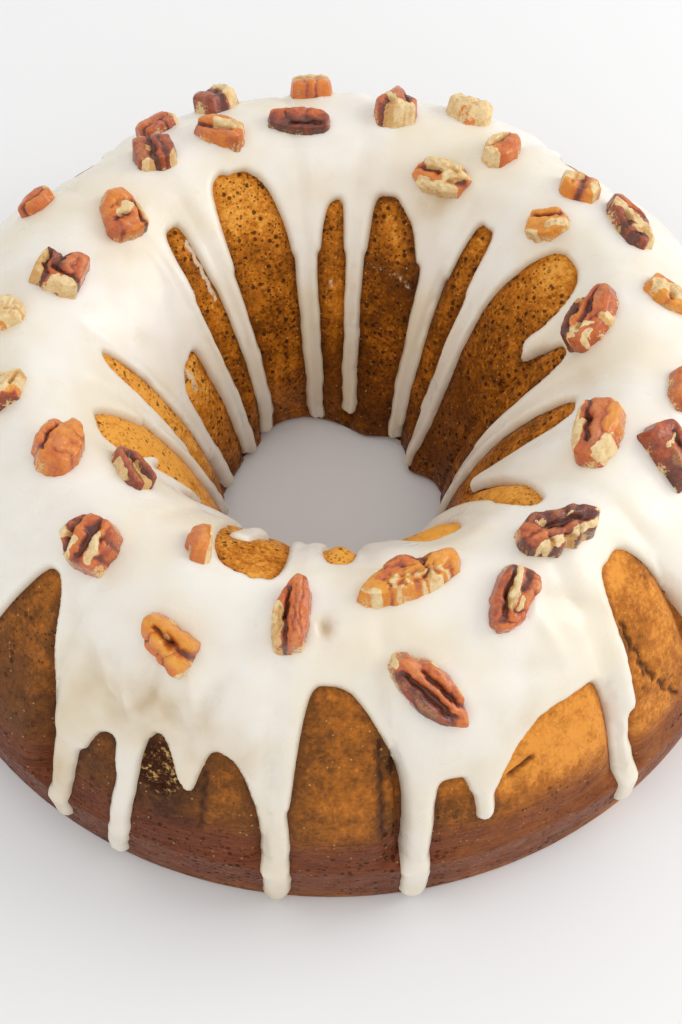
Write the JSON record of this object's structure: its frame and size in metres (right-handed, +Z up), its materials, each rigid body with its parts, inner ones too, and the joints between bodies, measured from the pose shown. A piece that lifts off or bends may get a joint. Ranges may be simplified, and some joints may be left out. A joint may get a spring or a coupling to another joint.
{
  "type": "bundt cake",
  "caption": "Fluted ring cake with a centre hole, a thick pale icing that hangs in arches and runs down its walls, and chopped pecans on top.",
  "frame": {"origin": "centre of the flat base, which rests on the plane Z = 0", "axes": "+Z up along the hole's axis; the front of the cake, at azimuth 270 degrees, faces -Y; +X to the right"},
  "size_m": [0.2438, 0.244, 0.0874],
  "materials": {
    "crust": "baked cake crust, golden brown above and darker in a band at the foot, satin with fine pores",
    "icing": "thick off-white sugar icing, soft sheen, rounded edges",
    "pecan": "orange-brown pecan skin with pale cream broken faces, satin"
  },
  "bodies": {
    "root": {"cake": "crust", "icing": "icing", "pecan_01": "pecan", "pecan_02": "pecan", "pecan_03": "pecan", "pecan_04": "pecan", "pecan_05": "pecan", "pecan_06": "pecan", "pecan_07": "pecan", "pecan_08": "pecan", "pecan_09": "pecan", "pecan_10": "pecan", "pecan_11": "pecan", "pecan_12": "pecan", "pecan_13": "pecan", "pecan_14": "pecan", "pecan_15": "pecan", "pecan_16": "pecan", "pecan_17": "pecan", "pecan_18": "pecan", "pecan_19": "pecan", "pecan_20": "pecan", "pecan_21": "pecan", "pecan_22": "pecan", "pecan_23": "pecan", "pecan_24": "pecan", "pecan_25": "pecan", "pecan_26": "pecan", "pecan_27": "pecan", "pecan_28": "pecan", "pecan_29": "pecan", "pecan_30": "pecan", "pecan_31": "pecan", "pecan_32": "pecan", "pecan_33": "pecan", "pecan_34": "pecan", "pecan_35": "pecan", "pecan_36": "pecan", "pecan_37": "pecan", "pecan_38": "pecan", "pecan_39": "pecan", "pecan_40": "pecan", "pecan_41": "pecan", "pecan_42": "pecan"}
  },
  "joints": []
}
